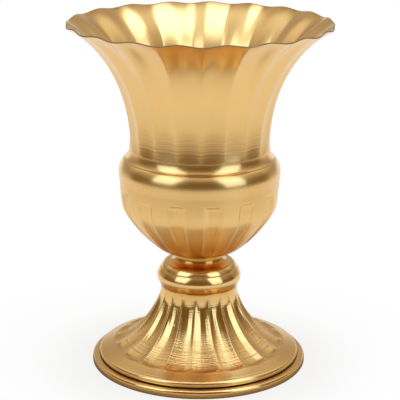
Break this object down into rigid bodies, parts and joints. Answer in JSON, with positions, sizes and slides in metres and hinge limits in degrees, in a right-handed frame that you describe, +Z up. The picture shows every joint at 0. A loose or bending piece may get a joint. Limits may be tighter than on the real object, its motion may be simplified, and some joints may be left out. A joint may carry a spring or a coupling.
{
  "type": "footed urn vase",
  "caption": "Footed urn vase of pressed sheet iron with a satin gold finish: fluted flare with a wavy rim, fluted bowl, small knob, flared fluted foot and rolled base ring.",
  "frame": {"origin": "on the vase's axis, in the plane of the table that its base ring stands on", "axes": "+Z up along the axis towards the mouth, -Y towards the viewer of the picture, +X to the viewer's right"},
  "size_m": [0.1881, 0.1884, 0.2513],
  "materials": {
    "gold_iron": "satin gold-coloured plating or lacquer on spun sheet iron",
    "zinc_steel": "zinc-plated steel hardware",
    "seal_rubber": "matt black rubber"
  },
  "bodies": {
    "root": {"fluted_flare": "gold_iron", "fluted_bowl": "gold_iron", "upper_knob_shell": "gold_iron", "lower_knob_shell": "gold_iron", "fluted_foot_skirt": "gold_iron", "rolled_base_ring": "gold_iron", "tie_bolt": "zinc_steel", "bowl_washer": "zinc_steel", "rubber_seal": "seal_rubber", "foot_washer": "zinc_steel", "spring_washer": "zinc_steel", "hex_nut": "zinc_steel"}
  },
  "joints": []
}
